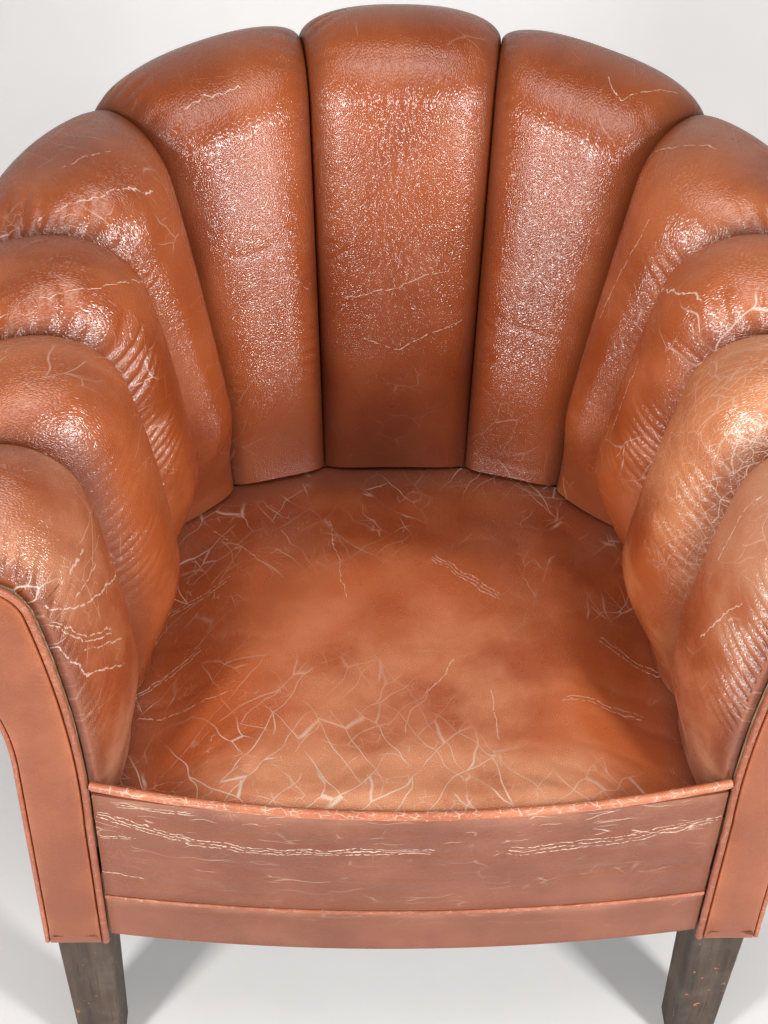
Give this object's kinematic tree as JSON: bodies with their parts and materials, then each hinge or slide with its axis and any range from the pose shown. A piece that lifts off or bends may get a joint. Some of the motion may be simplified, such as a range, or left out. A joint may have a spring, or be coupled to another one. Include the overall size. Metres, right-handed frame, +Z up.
{
  "type": "worn club chair",
  "caption": "Low tub armchair in worn brown leather, with stuffed channels over its back and arms, a sprung seat and square wooden legs.",
  "frame": {"origin": "on the floor, under the middle of the chair", "axes": "+Z up, the front of the chair faces -Y, +X is to the right as seen from the front"},
  "size_m": [0.8192, 0.7484, 0.8027],
  "materials": {
    "leather": "worn, creased and rubbed pale along its edges",
    "leg_wood": "dark stain, dull and scuffed",
    "frame_wood": "plain sawn",
    "spring_steel": "plain wire",
    "jute": "coarse weave",
    "dust_cloth": "thin black weave"
  },
  "bodies": {
    "root": {"channel_center": "leather", "channel_left_1": "leather", "channel_left_2": "leather", "channel_left_3": "leather", "channel_left_4": "leather", "channel_left_5": "leather", "channel_right_1": "leather", "channel_right_2": "leather", "channel_right_3": "leather", "channel_right_4": "leather", "channel_right_5": "leather", "seat_cushion": "leather", "seat_front_band": "leather", "seat_piping": "leather", "front_border": "leather", "border_welt": "leather", "arm_facing_left": "leather", "arm_facing_right": "leather", "double_welt_left": "leather", "double_welt_right": "leather", "outer_welt_left": "leather", "outer_welt_right": "leather", "outside_arm_left": "leather", "outside_arm_right": "leather", "outside_back": "leather", "corner_welt_left": "leather", "corner_welt_right": "leather", "rim_welt": "leather", "inside_lining": "jute", "seat_webbing": "jute", "spring_canvas": "jute", "dust_cloth": "dust_cloth", "seat_spring_1": "spring_steel", "seat_spring_2": "spring_steel", "seat_spring_3": "spring_steel", "seat_spring_4": "spring_steel", "seat_spring_5": "spring_steel", "seat_spring_6": "spring_steel", "seat_spring_7": "spring_steel", "seat_spring_8": "spring_steel", "seat_spring_9": "spring_steel", "front_leg_left": "leg_wood", "front_leg_right": "leg_wood", "rear_leg_left": "leg_wood", "rear_leg_right": "leg_wood", "front_rail": "frame_wood", "side_rail_left": "frame_wood", "side_rail_right": "frame_wood", "back_rail": "frame_wood", "tack_rail": "frame_wood", "top_rail": "frame_wood", "arm_rail_left": "frame_wood", "arm_rail_right": "frame_wood", "arm_post_left": "frame_wood", "arm_post_right": "frame_wood", "back_upright_left_inner": "frame_wood", "back_upright_left_outer": "frame_wood", "back_upright_right_inner": "frame_wood", "back_upright_right_outer": "frame_wood"}
  },
  "joints": []
}
